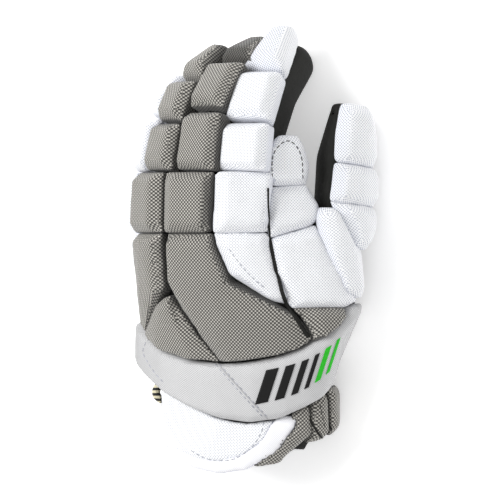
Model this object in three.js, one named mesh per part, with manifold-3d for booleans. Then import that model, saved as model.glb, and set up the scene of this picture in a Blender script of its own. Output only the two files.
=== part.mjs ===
// A padded lacrosse glove for the left hand, lying palm down as it rests on a table.
// X runs to the thumb side, Y to the fingertips and Z up; lengths are millimetres.
// A hollow shell of leather and lining holds the hand, and foam pads are sewn on its back.
import * as THREE from "three";
import { mergeVertices } from "three/addons/utils/BufferGeometryUtils.js";
import Module from "manifold-3d";

// Driving sizes of the hand that the glove is cut for.
const HAND_WIDTH = 100; // across the shell at the four knuckles
const HAND_LENGTH = 176; // from the mouth of the cuff to the crotch of the fingers
const HAND_RISE = 58; // middle of the shell above the table at the knuckles
const SHELL_DEPTH = 26; // back to palm through the shell at the knuckles
const ARCH_RADIUS = 79; // bend of the row of knuckles
const FINGER_LENGTH = 106; // knuckle to tip of the index finger, along its back
const FINGER_DEPTH = 30; // back to palm through a finger sleeve
const THUMB_LENGTH = 168; // wrist to tip of the thumb sleeve
const THUMB_DEPTH = 26; // back to palm through the thumb sleeve
const WEB_LENGTH = 150; // wrist to the end of the flap beside the index finger
const WALL = 2.4; // leather with its lining

// Sizes of the pads and the trim.
const PAD_THICKNESS = 14;
const PAD_WIDTH = 30; // index finger, at the knuckle
const PANEL_THICKNESS = 12;
const PAD_SHOULDER = 4.5; // width of the rounded edge of a pad
const PANEL_REACH = 0.9; // how far a panel's foam stands over the line that it is sewn on
const FLAP_WIDTH = 100; // of the flap on the cuff
const FLAP_RISE = 18; // from its middle to the strap
const FLAP_THICKNESS = 5;
const BINDING_WIDTH = 12; // of the band sewn round the flap, at its widest
const STRAP_THICKNESS = 11; // padded part of the strap, on the back
const STRAP_SLACK = 0.8; // between the shell and the strap round it
const STRAP_FLARE = 7; // how much thicker its rolled end is, on the little finger's side
const LACE_DIAMETER = 6;
const PAD_GAP = 1.4; // sewn channel between two pads
const SEAT_GAP = 0.3; // between a pad and the shell that it is sewn to
const STRAP_CLEARANCE = 3.2; // shell above the table, where the strap passes under it
const CUT_GAP = 0.3; // between two pieces of the shell

// Where the three hollow forms start along Y, behind the middle of the hand.
const WRIST_START = -0.727 * HAND_LENGTH; // the cuff's mouth
const THUMB_START = -0.43 * HAND_LENGTH;
const WEB_START = -0.44 * HAND_LENGTH;

// Rows of the hollow hand shell, from the mouth of the cuff to the crotch of the fingers.
// x and half follow HAND_WIDTH, z HAND_RISE, depth half of SHELL_DEPTH and bend ARCH_RADIUS.
const HAND_ROWS = [
  { along: -0.12, x: 0.08, z: 0.46, tilt: 0, half: 0.52, depth: 1.8, bend: 3.5 },
  { along: 0.0, x: 0.1, z: 0.46, tilt: 0, half: 0.47, depth: 1.8, bend: 3.5 },
  { along: 0.08, x: 0.145, z: 0.455, tilt: 0, half: 0.59, depth: 1.75, bend: 3.2 },
  { along: 0.16, x: 0.16, z: 0.45, tilt: 0, half: 0.6, depth: 1.7, bend: 3.0 },
  { along: 0.33, x: 0.15, z: 0.5, tilt: -2, half: 0.585, depth: 1.9, bend: 2.0 },
  { along: 0.53, x: 0.11, z: 0.66, tilt: -8, half: 0.53, depth: 1.85, bend: 1.4 },
  { along: 0.73, x: 0.03, z: 0.87, tilt: -13, half: 0.5, depth: 1.55, bend: 1.1 },
  { along: 0.87, x: 0.0, z: 0.97, tilt: -15, half: 0.5, depth: 1.2, bend: 1.0 },
  { along: 1.0, x: 0.0, z: 1.0, tilt: -15.5, half: 0.5, depth: 1.0, bend: 1.0 },
];

// Rows of the thumb sleeve, from the wrist to its tip. depth follows half of THUMB_DEPTH.
const THUMB_ROWS = [
  { along: 0.0, x: 0.56, z: 0.4, tilt: 25, half: 0.16, depth: 1.0, bend: 50 },
  { along: 0.18, x: 0.72, z: 0.4, tilt: 42, half: 0.19, depth: 1.15, bend: 50 },
  { along: 0.39, x: 0.79, z: 0.38, tilt: 52, half: 0.165, depth: 1.1, bend: 50 },
  { along: 0.6, x: 0.82, z: 0.37, tilt: 58, half: 0.15, depth: 1.0, bend: 50 },
  { along: 0.81, x: 0.83, z: 0.36, tilt: 60, half: 0.14, depth: 0.96, bend: 50 },
  { along: 0.95, x: 0.84, z: 0.35, tilt: 60, half: 0.12, depth: 0.85, bend: 50 },
  { along: 1.0, x: 0.84, z: 0.34, tilt: 60, half: 0.06, depth: 0.4, bend: 50 },
];

// Rows of the web between the index finger and the thumb. The shell stops at WEB_CROTCH.
const WEB_ROWS = [
  { along: 0.0, x: 0.52, z: 0.6, tilt: 20, half: 0.3, depth: 1.0, bend: 20 },
  { along: 0.25, x: 0.56, z: 0.68, tilt: 30, half: 0.34, depth: 1.0, bend: 20 },
  { along: 0.48, x: 0.58, z: 0.74, tilt: 38, half: 0.32, depth: 0.8, bend: 20 },
  { along: 0.63, x: 0.58, z: 0.76, tilt: 42, half: 0.28, depth: 0.5, bend: 20 },
  { along: 0.7, x: 0.57, z: 0.77, tilt: 42, half: 0.24, depth: 0.3, bend: 20 },
  { along: 1.0, x: 0.56, z: 0.8, tilt: 42, half: 0.2, depth: 0.2, bend: 20 },
];
const WEB_CROTCH = 0.7;

// Fingers, each with its joints from the crotch to the tip. x and width follow HAND_WIDTH,
// z HAND_RISE, lengths FINGER_LENGTH and pad PAD_WIDTH. roll leans a finger's back to the
// thumb and pitch bends it down, in degrees.
const FINGERS = [
  {
    name: "index", x: 0.437, z: 1.17, width: 0.25, pad: 1.0,
    roll: [0, -2, -4], pitch: [10, 29, 47], length: [0.289, 0.322, 0.375],
  },
  {
    name: "middle", x: 0.146, z: 1.24, width: 0.25, pad: 1.03,
    roll: [-18, -20, -20], pitch: [11, 35, 66], length: [0.358, 0.324, 0.275],
  },
  {
    name: "ring", x: -0.153, z: 1.12, width: 0.23, pad: 0.95,
    roll: [-30, -32, -32], pitch: [14, 25, 55], length: [0.296, 0.266, 0.305],
  },
  {
    name: "little", x: -0.349, z: 0.88, width: 0.21, pad: 0.82,
    roll: [-42, -42], pitch: [12, 40], length: [0.325, 0.3],
  },
];

// Knuckle pads, on the hand shell. Turns are degrees round its section, at both ends of a pad.
const KNUCKLES = [
  { name: "index", rows: [{ along: 0, left: 24, right: 64 }, { along: 1, left: 28, right: 78 }] },
  { name: "middle", rows: [{ along: 0, left: -1.5, right: 20 }, { along: 1, left: -1, right: 24 }] },
  { name: "ring", rows: [{ along: 0, left: -33, right: -4 }, { along: 1, left: -30, right: -3 }] },
  { name: "little", rows: [{ along: 0, left: -82, right: -38 }, { along: 1, left: -80, right: -37 }] },
];
const KNUCKLES_FROM = 0.8;
const KNUCKLES_TO = 0.985;

// Panels sewn on a loft, each between two edges. along is the share of the panel's own length,
// left and right are degrees round the loft, and leftAt and rightAt are shares of its length.
const PANELS = [
  {
    name: "main_back_pad", on: "hand", color: "grey",
    rows: [
      { along: 0, left: 7, leftAt: 0.28, right: 70, rightAt: 0.35 },
      { along: 0.3, left: 0, leftAt: 0.42, right: 64, rightAt: 0.44 },
      { along: 0.58, left: -6, leftAt: 0.56, right: 52, rightAt: 0.53 },
      { along: 0.68, left: -7.5, leftAt: 0.61, right: 27, rightAt: 0.595 },
      { along: 0.83, left: -4, leftAt: 0.69, right: 20, rightAt: 0.69 },
      { along: 1, left: -1.5, leftAt: 0.785, right: 21, rightAt: 0.785 },
    ],
  },
  {
    name: "index_back_pad", on: "hand", color: "white",
    rows: [
      { along: 0, left: 47, leftAt: 0.55, right: 57, rightAt: 0.54 },
      { along: 0.3, left: 31, leftAt: 0.605, right: 58, rightAt: 0.61 },
      { along: 0.65, left: 23, leftAt: 0.69, right: 60, rightAt: 0.69 },
      { along: 1, left: 24, leftAt: 0.785, right: 64, rightAt: 0.78 },
    ],
  },
  {
    name: "wedge_back_pad", on: "hand", color: "grey",
    rows: [
      { along: 0, left: -60, leftAt: 0.3, right: 5, rightAt: 0.29 },
      { along: 0.45, left: -50, leftAt: 0.41, right: -2, rightAt: 0.42 },
      { along: 1, left: -17, leftAt: 0.56, right: -10.5, rightAt: 0.57 },
    ],
  },
  {
    name: "ring_back_pad", on: "hand", color: "grey",
    rows: [
      { along: 0, left: -70, leftAt: 0.38, right: -58, rightAt: 0.38 },
      { along: 0.5, left: -58, leftAt: 0.58, right: -13, rightAt: 0.6 },
      { along: 1, left: -33, leftAt: 0.785, right: -4.5, rightAt: 0.785 },
    ],
  },
  {
    name: "little_back_pad", on: "hand", color: "white",
    rows: [
      { along: 0, left: -84, leftAt: 0.57, right: -64, rightAt: 0.57 },
      { along: 1, left: -82, leftAt: 0.785, right: -38, rightAt: 0.785 },
    ],
  },
  {
    name: "thumb_panel", on: "web", color: "white",
    rows: [
      { along: 0, left: 3, leftAt: 0.285, right: 86, rightAt: 0.28 },
      { along: 0.4, left: -8, leftAt: 0.39, right: 61, rightAt: 0.375 },
      { along: 0.75, left: -15, leftAt: 0.49, right: 38, rightAt: 0.49 },
      { along: 1, left: -18, leftAt: 0.553, right: 23, rightAt: 0.603 },
    ],
  },
  {
    name: "web_mid_pad", on: "web", color: "white",
    rows: [
      { along: 0, left: -20, leftAt: 0.567, right: 21, rightAt: 0.617 },
      { along: 0.45, left: -24, leftAt: 0.66, right: 41, rightAt: 0.68 },
      { along: 1, left: -25, leftAt: 0.77, right: 24, rightAt: 0.78 },
    ],
  },
  {
    name: "web_top_pad", on: "web", color: "white",
    rows: [
      { along: 0, left: -33, leftAt: 0.783, right: 24, rightAt: 0.793 },
      { along: 0.5, left: -33, leftAt: 0.87, right: 32, rightAt: 0.87 },
      { along: 0.85, left: -26, leftAt: 0.945, right: 24, rightAt: 0.945 },
      { along: 1, left: -8, leftAt: 0.985, right: 15, rightAt: 0.985 },
    ],
  },
  {
    name: "thumb_wrist_panel", on: "web", color: "grey",
    rows: [
      { along: 0, left: 30, leftAt: 0.1, right: 84, rightAt: 0.14 },
      { along: 0.55, left: 18, leftAt: 0.2, right: 86, rightAt: 0.21 },
      { along: 1, left: 5, leftAt: 0.275, right: 84, rightAt: 0.27 },
    ],
  },
  {
    name: "thumb_base_pad", on: "thumb", color: "white",
    rows: [
      { along: 0, left: 6, leftAt: 0.47, right: 30, rightAt: 0.455 },
      { along: 0.5, left: -11, leftAt: 0.55, right: 48, rightAt: 0.53 },
      { along: 1, left: -34, leftAt: 0.625, right: 54, rightAt: 0.6 },
    ],
  },
  {
    name: "thumb_mid_pad", on: "thumb", color: "white",
    rows: [
      { along: 0, left: -37, leftAt: 0.637, right: 56, rightAt: 0.612 },
      { along: 1, left: -33, leftAt: 0.77, right: 52, rightAt: 0.745 },
    ],
  },
  {
    name: "thumb_tip_pad", on: "thumb", color: "white",
    rows: [
      { along: 0, left: -33, leftAt: 0.782, right: 52, rightAt: 0.757 },
      { along: 0.6, left: -34, leftAt: 0.9, right: 46, rightAt: 0.88 },
      { along: 1, left: -28, leftAt: 0.97, right: 34, rightAt: 0.96 },
    ],
  },
  {
    name: "thumb_strip_pad", on: "thumb", color: "white",
    rows: [
      { along: 0, left: 2, leftAt: 0.29, right: 37, rightAt: 0.28 },
      { along: 0.35, left: -26, leftAt: 0.41, right: 25, rightAt: 0.4 },
      { along: 0.7, left: -54, leftAt: 0.5, right: 3, rightAt: 0.5 },
      { along: 1, left: -66, leftAt: 0.6, right: -24, rightAt: 0.6 },
    ],
  },
];

// Edges of the wrist strap. along goes once round the glove from the middle of the palm, past
// the little finger's side, the back and the thumb's side. low and high are shares of the hand.
const STRAP_ROWS = [
  { along: 0, low: 0.31, high: 0.5 },
  { along: 0.14, low: 0.31, high: 0.5 },
  { along: 0.25, low: 0.33, high: 0.48 },
  { along: 0.32, low: 0.29, high: 0.43 },
  { along: 0.38, low: 0.235, high: 0.383 },
  { along: 0.44, low: 0.175, high: 0.34 },
  { along: 0.5, low: 0.125, high: 0.32 },
  { along: 0.57, low: 0.115, high: 0.342 },
  { along: 0.65, low: 0.175, high: 0.393 },
  { along: 0.72, low: 0.225, high: 0.46 },
  { along: 0.78, low: 0.33, high: 0.535 },
  { along: 0.86, low: 0.34, high: 0.53 },
  { along: 1, low: 0.31, high: 0.5 },
];
// Section of the strap: a share of its width and of its thickness.
const STRAP_SECTION = [
  { across: 0.5, lift: 0 },
  { across: 1, lift: 0 },
  { across: 1, lift: 0.65 },
  { across: 0.9, lift: 1 },
  { across: 0.1, lift: 1 },
  { across: 0, lift: 0.65 },
  { across: 0, lift: 0 },
];

// The flap of the cuff. reach is a share of half FLAP_WIDTH, at an angle round its middle: 180 is
// at the little finger's side and 270 at the lower end. x is a share of HAND_WIDTH, at one of
// HAND_LENGTH, and lowest the angle of its lowest point. Its band runs between two angles of the
// rim, and narrows from its full width to a share of it.
const FLAP = { x: 0.04, at: 0.155, lowest: 290, bandFrom: 190, bandTo: 354, narrow: 0.2 };
const FLAP_ROWS = [
  { along: 170, reach: 1.02 },
  { along: 200, reach: 1.0 },
  { along: 229, reach: 0.83 },
  { along: 260, reach: 0.79 },
  { along: 300, reach: 0.82 },
  { along: 340, reach: 0.82 },
  { along: 365, reach: 0.8 },
];

// Small pieces of the cuff on the hand shell, with the columns of PANELS.
const CUFF_PANELS = [
  {
    name: "cuff_side_lobe", color: "grey",
    rows: [
      { along: 0, left: 27, leftAt: -0.045, right: 52, rightAt: -0.03 },
      { along: 0.3, left: 27, leftAt: 0.02, right: 61, rightAt: 0.04 },
      { along: 1, left: 36, leftAt: 0.16, right: 50, rightAt: 0.18 },
    ],
  },
  {
    name: "cuff_tab_inner", color: "grey",
    rows: [
      { along: 0, left: 62, leftAt: 0.05, right: 82, rightAt: 0.065 },
      { along: 1, left: 52, leftAt: 0.2, right: 71, rightAt: 0.215 },
    ],
  },
  {
    name: "cuff_tab_outer", color: "grey",
    rows: [
      { along: 0, left: 86, leftAt: 0.075, right: 108, rightAt: 0.085 },
      { along: 1, left: 75, leftAt: 0.23, right: 102, rightAt: 0.24 },
    ],
  },
];

// The lace loop, at a share of the hand shell's length and a turn round it, in its own diameters.
const LACE_ROWS = [
  { at: 0.18, turn: -70, lift: -0.4 },
  { at: 0.19, turn: -70, lift: 0.4 },
  { at: 0.21, turn: -70, lift: 0.6 },
  { at: 0.23, turn: -70, lift: 0.4 },
  { at: 0.24, turn: -70, lift: -0.4 },
];

const CUFF_SHARE = 0.2; // of the shell is the liner of the cuff
const MOUTH_SHARE = -0.02; // where the hollow starts, past the cuff's mouth
const THUMB_SIDE = 0.62 * HAND_WIDTH; // between the index finger and the thumb
const FAR = 1000; // outside the glove
const SEAM_REACH = 1.1; // half widths from the middle of the hand to its side seams
const STRAP_ROOM = 2.5; // height kept free of pads along the strap, in its thicknesses
const STRAP_UNDER = [-0.7, 0.1]; // rise of its surface between the thin palm side and the pad
const STRAP_SIDE = [0.4, 1]; // turn of its surface over which its rolled end grows
const PAD_CROWN = 0.06; // rise of a pad's middle, as a share of its thickness
const PAD_WRAP = 1.5; // how far the sides of a finger's pad bend down round it
const PAD_SPLAY = 0.12; // how far its sides lean out
const PAD_NARROWING = 0.05; // of its width, from one joint to the next
const TIP_TAPER = 0.6; // of the width of a fingertip's pad
const WIDEST_SHOULDER = 0.25; // of a small pad's width
const SPOT_LIMIT = 0.98; // of half the shell's width, where a spot on its back ends
const LEAST_FACING = 0.05; // of a support that the strap's ray can meet
const LACE_STEPS = 6;

const EDGE_TRIES = 12;
const RING_SIDES = 16;
const SLEEVE_SIDES = 10;
const HAND_STEPS = 7;
const THUMB_STEPS = 5;
const WEB_STEPS = 3;
const SEAM_CELLS = 2;
const SEAM_END = 0.001; // keeps the ends of the seam's block off the ends of the hand
const GIRTH_SIDES = 72;
const STRAP_STEPS = 22;
const SQUARENESS = 2.6; // 2 is an ellipse, and more is a fuller section
const radians = THREE.MathUtils.degToRad;
const vec = (x, y, z) => new THREE.Vector3(x, y, z);

const wasm = await Module();
wasm.setup();

// A smooth value between the rows of a table, for every column.
function sampleRows(rows, along) {
  let i = 0;
  while (i < rows.length - 2 && along > rows[i + 1].along) i++;
  const rowAt = (k) => rows[THREE.MathUtils.clamp(k, 0, rows.length - 1)];
  const [before, from, to, after] = [rowAt(i - 1), rowAt(i), rowAt(i + 1), rowAt(i + 2)];
  const span = to.along - from.along;
  const t = (along - from.along) / span;
  const row = {};
  for (const key of Object.keys(from)) {
    const slopeFrom = ((to[key] - before[key]) / (to.along - before.along)) * span;
    const slopeTo = ((after[key] - from[key]) / (after.along - from.along)) * span;
    const [t2, t3] = [t * t, t * t * t];
    const ends = from[key] * (2 * t3 - 3 * t2 + 1) + to[key] * (3 * t2 - 2 * t3);
    row[key] = ends + slopeFrom * (t3 - 2 * t2 + t) + slopeTo * (t3 - t2);
  }
  return row;
}

// The section of a loft at a share of its length, standing square to Y.
function sectionAt(loft, along) {
  const row = sampleRows(loft.rows, along);
  const tilt = radians(row.tilt);
  return {
    origin: vec(row.x * HAND_WIDTH, loft.start + along * loft.length, row.z * HAND_RISE),
    across: vec(Math.cos(tilt), 0, -Math.sin(tilt)),
    normal: vec(Math.sin(tilt), 0, Math.cos(tilt)),
    half: row.half * HAND_WIDTH,
    depth: (row.depth * loft.depth) / 2,
    bend: row.bend * ARCH_RADIUS,
  };
}

// A point of a section. turn is in degrees: -90 at the little finger's side, 0 on the back.
function sectionPoint(section, turn, grow = 0) {
  const power = (value) => Math.sign(value) * Math.abs(value) ** (2 / SQUARENESS);
  const across = (section.half + grow) * power(Math.sin(radians(turn)));
  const up = (section.depth + grow) * power(Math.cos(radians(turn)));
  const angle = across / section.bend;
  const reach = section.bend + up;
  return section.origin
    .clone()
    .addScaledVector(section.across, reach * Math.sin(angle))
    .addScaledVector(section.normal, reach * Math.cos(angle) - section.bend);
}

// A solid from a closed geometry, whose shared corners are merged.
function solidOf(geometry) {
  geometry.deleteAttribute("normal");
  geometry.deleteAttribute("uv");
  const merged = mergeVertices(geometry, 1e-4);
  const vertProperties = merged.getAttribute("position").array;
  const triVerts = new Uint32Array(merged.index.array);
  return new wasm.Manifold(new wasm.Mesh({ numProp: 3, vertProperties, triVerts }));
}

function manifoldOf(points, faces) {
  const position = new THREE.Float32BufferAttribute(points.flatMap((point) => point.toArray()), 3);
  return solidOf(new THREE.BufferGeometry().setAttribute("position", position).setIndex(faces.flat()));
}

// The faces between each ring of points and the next one.
function ringFaces(rings, pairs) {
  const sides = rings[0].length;
  const faces = [];
  for (let r = 0; r < pairs; r++)
    for (let i = 0; i < sides; i++) {
      const [a, b] = [r * sides + i, r * sides + ((i + 1) % sides)];
      const next = (((r + 1) % rings.length) - r) * sides;
      faces.push([a, b, b + next], [a, b + next, a + next]);
    }
  return faces;
}

// A closed solid through rings of points. The ends are closed from one side to the other.
function loftSolid(rings) {
  const sides = rings[0].length;
  const faces = ringFaces(rings, rings.length - 1);
  const last = (rings.length - 1) * sides;
  for (let i = 0; i < sides / 2; i++) {
    const [a, b, c, d] = [i, i + 1, (sides - i) % sides, (sides - i - 1) % sides];
    if (b !== d) faces.push([a, d, b], [last + a, last + b, last + d]);
    if (a !== c) faces.push([a, c, d], [last + a, last + d, last + c]);
  }
  return manifoldOf(rings.flat(), faces);
}

// The rings of a section, which lie no lower than the floor that they rest on.
function ringOf(section, sides, grow, floor = -Infinity) {
  const ring = [];
  for (let i = 0; i < sides; i++) {
    const point = sectionPoint(section, -90 + (360 * i) / sides, grow);
    point.z = Math.max(point.z, floor - grow);
    ring.push(point);
  }
  return ring;
}

const hand = { rows: HAND_ROWS, start: WRIST_START, length: HAND_LENGTH, depth: SHELL_DEPTH };
const thumb = { rows: THUMB_ROWS, start: THUMB_START, length: THUMB_LENGTH, depth: THUMB_DEPTH };
const web = { rows: WEB_ROWS, start: WEB_START, length: WEB_LENGTH, depth: SHELL_DEPTH };

function bodyLoft(loft, from, to, steps, grow) {
  const rings = [];
  for (let i = 0; i <= steps; i++) {
    const section = sectionAt(loft, from + ((to - from) * i) / steps);
    rings.push(ringOf(section, RING_SIDES, grow, STRAP_CLEARANCE));
  }
  return loftSolid(rings);
}

// The joints of a finger: its back line, with the frame of each straight part.
function fingerChain(finger) {
  const parts = [];
  let joint = vec(finger.x * HAND_WIDTH, hand.start + HAND_LENGTH, finger.z * HAND_RISE);
  finger.pitch.forEach((pitch, i) => {
    const roll = radians(finger.roll[i]);
    const bend = radians(pitch);
    const side = vec(Math.cos(roll), 0, -Math.sin(roll));
    const level = vec(Math.sin(roll), 0, Math.cos(roll));
    const along = vec(0, Math.cos(bend), 0).addScaledVector(level, -Math.sin(bend));
    const length = finger.length[i] * FINGER_LENGTH;
    parts.push({ joint, along, side, normal: side.clone().cross(along), length });
    joint = joint.clone().addScaledVector(along, length);
  });
  return parts;
}

// A sleeve round a finger, down to the floor. Inside sizes have a grow below zero.
const SLEEVE_ROOT = 8; // inside the hand shell
const SLEEVE_TIP = [
  { along: 0.88, half: 0.92, depth: 0.88 },
  { along: 1.0, half: 0.6, depth: 0.5 },
];
function sleeveSolid(finger, grow) {
  const parts = fingerChain(finger);
  const rings = [];
  const add = (part, distance, normal, half = 1, depth = 1) => {
    const origin = part.joint
      .clone()
      .addScaledVector(part.along, distance)
      .addScaledVector(normal, -FINGER_DEPTH / 2);
    const section = {
      origin,
      across: part.side,
      normal,
      half: (finger.width * HAND_WIDTH * half) / 2,
      depth: (FINGER_DEPTH * depth) / 2,
      bend: FAR,
    };
    rings.push(ringOf(section, SLEEVE_SIDES, grow, 0));
  };
  add(parts[0], -SLEEVE_ROOT - Math.abs(grow), parts[0].normal);
  for (let i = 1; i < parts.length; i++) {
    add(parts[i], 0, parts[i].normal.clone().add(parts[i - 1].normal).normalize());
  }
  const tip = parts.at(-1);
  for (const row of SLEEVE_TIP) add(tip, tip.length * row.along + grow, tip.normal, row.half, row.depth);
  return loftSolid(rings);
}

// A block between two corners, which cuts the shell into its pieces.
function block(low, high) {
  const size = high.clone().sub(low);
  const geometry = new THREE.BoxGeometry(...size);
  return solidOf(geometry.translate(...low.clone().addScaledVector(size, 0.5)));
}

const join = (solids) => solids.reduce((a, b) => a.add(b));

const COLORS = {
  leather: { color: 0x1f1f1d, roughness: 0.7, metalness: 0 },
  liner: { color: 0x262624, roughness: 0.9, metalness: 0 },
  grey: { color: 0x7d7a74, roughness: 0.95, metalness: 0 },
  white: { color: 0xf2f2f6, roughness: 0.9, metalness: 0 },
  strap: { color: 0xe6e6e6, roughness: 0.85, metalness: 0 },
  lace: { color: 0x2a2a2a, roughness: 0.8, metalness: 0 },
};
const group = new THREE.Group();

// Adds a solid as a named mesh. A change of size may leave crumbs, so the largest body is kept.
function addNode(name, solid, color) {
  const bodies = solid.decompose();
  const main = bodies.reduce((best, body) => (body.volume() > best.volume() ? body : best));
  const made = main.getMesh();
  const geometry = new THREE.BufferGeometry()
    .setAttribute("position", new THREE.Float32BufferAttribute(made.vertProperties, 3))
    .setIndex(new THREE.Uint32BufferAttribute(made.triVerts, 1));
  geometry.computeVertexNormals();
  const mesh = new THREE.Mesh(geometry, new THREE.MeshStandardMaterial(COLORS[color]));
  mesh.name = name;
  group.add(mesh);
}

// All that lies under the middle of the hand, and level with it past its side seams.
function underHand(grow) {
  const rings = [];
  for (let i = 0; i <= HAND_STEPS; i++) {
    const section = sectionAt(hand, (i / HAND_STEPS) * (1 - 2 * SEAM_END) + SEAM_END);
    const reach = SEAM_REACH * section.half;
    const seam = [];
    for (let k = -SEAM_CELLS; k <= SEAM_CELLS; k++) {
      const angle = ((k / SEAM_CELLS) * reach) / section.bend;
      const point = section.origin
        .clone()
        .addScaledVector(section.across, section.bend * Math.sin(angle))
        .addScaledVector(section.normal, section.bend * (Math.cos(angle) - 1) + grow);
      seam.push(point);
    }
    seam.unshift(seam[0].clone().setX(-FAR));
    seam.push(seam.at(-1).clone().setX(FAR));
    const low = seam.map((point) => point.clone().setZ(-FAR)).reverse();
    rings.push([...seam, ...low]);
  }
  return loftSolid(rings);
}

// The shell: one hollow of leather and lining, open at the cuff, in eight sewn pieces.
const bodyLofts = (grow, mouth) => [
  bodyLoft(hand, mouth, 1 + grow / HAND_LENGTH, HAND_STEPS, grow),
  bodyLoft(thumb, 0, 1 + grow / THUMB_LENGTH, THUMB_STEPS, grow),
  bodyLoft(web, 0, WEB_CROTCH + grow / WEB_LENGTH, WEB_STEPS, grow),
];
const bodyOut = join(bodyLofts(0, 0));
const sleevesOut = FINGERS.map((finger) => sleeveSolid(finger, 0));
const sleevesIn = join(FINGERS.map((finger) => sleeveSolid(finger, -WALL)));
const inside = join(bodyLofts(-WALL, MOUTH_SHARE)).add(sleevesIn);
const shell = join([bodyOut, ...sleevesOut]).subtract(inside);
const sleevesGrown = FINGERS.map((finger) => sleeveSolid(finger, SEAT_GAP));
const shellGrown = join([...bodyLofts(SEAT_GAP, 0), ...sleevesGrown]);

const crotch = hand.start + HAND_LENGTH;
const cuffCut = hand.start + CUFF_SHARE * HAND_LENGTH;
const thumbCut = web.start + WEB_CROTCH * WEB_LENGTH + WALL;
const pastY = (y) => block(vec(-FAR, y, -FAR), vec(FAR, FAR, FAR));
const beforeY = (y) => block(vec(-FAR, -FAR, -FAR), vec(FAR, y, FAR));
const thumbBlock = (y) => block(vec(THUMB_SIDE, y, -FAR), vec(FAR, FAR, FAR));
const half = CUT_GAP / 2;
addNode("cuff_liner", shell.intersect(beforeY(cuffCut - half)), "liner");
const palm = shell
  .intersect(pastY(cuffCut + half))
  .intersect(beforeY(crotch - half))
  .subtract(thumbBlock(thumbCut - half));
addNode("palm_shell", palm.intersect(underHand(-half)), "leather");
addNode("back_shell", palm.subtract(underHand(half)), "liner");
addNode("thumb_sleeve", shell.intersect(thumbBlock(thumbCut + half)), "leather");
FINGERS.forEach((finger, i) => {
  const clear = FINGERS.slice(0, i).map((other) => sleeveSolid(other, CUT_GAP));
  const sleeve = clear.reduce((solid, other) => solid.subtract(other), sleevesOut[i].subtract(inside));
  addNode(`${finger.name}_sleeve`, sleeve.intersect(pastY(crotch + half)), "leather");
});

// A point of a loop round all of the shell, pulled straight over its hollows as a strap is.
// along is a share of one turn and lift a share of the strap's thickness.
function girthPoint(along, y, lift) {
  const points = [hand, thumb, web]
    .map((loft) => ({ loft, share: (y - loft.start) / loft.length }))
    .filter(({ share }) => share >= 0)
    .flatMap(({ loft, share }) => ringOf(sectionAt(loft, share), RING_SIDES, 0, STRAP_CLEARANCE));
  const box = new THREE.Box3().setFromPoints(points);
  const middle = box.getCenter(vec(0, 0, 0));
  const size = box.getSize(vec(0, 0, 0));
  const turn = (along - 0.5) * 2 * Math.PI;
  const ray = vec(size.x * Math.sin(turn), 0, size.z * Math.cos(turn)).normalize();
  let reach = Infinity;
  for (let i = 0; i < GIRTH_SIDES; i++) {
    const angle = (2 * Math.PI * i) / GIRTH_SIDES;
    const normal = vec(Math.sin(angle), 0, Math.cos(angle));
    if (normal.dot(ray) < LEAST_FACING) continue;
    const support = Math.max(...points.map((point) => point.clone().sub(middle).dot(normal)));
    const upper = THREE.MathUtils.smoothstep(normal.z, ...STRAP_UNDER);
    const thin = STRAP_CLEARANCE - STRAP_SLACK;
    const flare = STRAP_FLARE * THREE.MathUtils.smoothstep(-normal.x, ...STRAP_SIDE);
    const thickness = THREE.MathUtils.lerp(thin, STRAP_THICKNESS, upper) + flare;
    reach = Math.min(reach, (support + STRAP_SLACK + thickness * lift) / normal.dot(ray));
  }
  return middle.addScaledVector(ray, reach).setY(y);
}

function strapPoint(along, across, lift) {
  const row = sampleRows(STRAP_ROWS, along);
  const share = THREE.MathUtils.lerp(row.low, row.high, across);
  return girthPoint(along, hand.start + share * HAND_LENGTH, lift);
}

// The strap, flat where it lies on the table. It is grown and raised where it stands in for
// the room that its edges need.
const STRAP_MEAN_WIDTH = 0.19 * HAND_LENGTH;
function strapSolid(grow, raise) {
  const rings = [];
  for (let i = 0; i < STRAP_STEPS; i++) {
    const ring = STRAP_SECTION.map(({ across, lift }) => {
      const wide = across + ((across - 0.5) * 2 * grow) / STRAP_MEAN_WIDTH;
      const high = lift * raise - (lift > 0 ? 0 : (2 * grow) / STRAP_THICKNESS);
      const point = strapPoint(i / STRAP_STEPS, wide, high);
      return high > 0 && point.z < STRAP_CLEARANCE - STRAP_SLACK ? point.setZ(0) : point;
    });
    rings.push(ring);
  }
  return manifoldOf(rings.flat(), ringFaces(rings, rings.length));
}
addNode("wrist_strap", strapSolid(0, 1).subtract(shellGrown), "strap");
const strapGrown = strapSolid(PAD_GAP, STRAP_ROOM);

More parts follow.
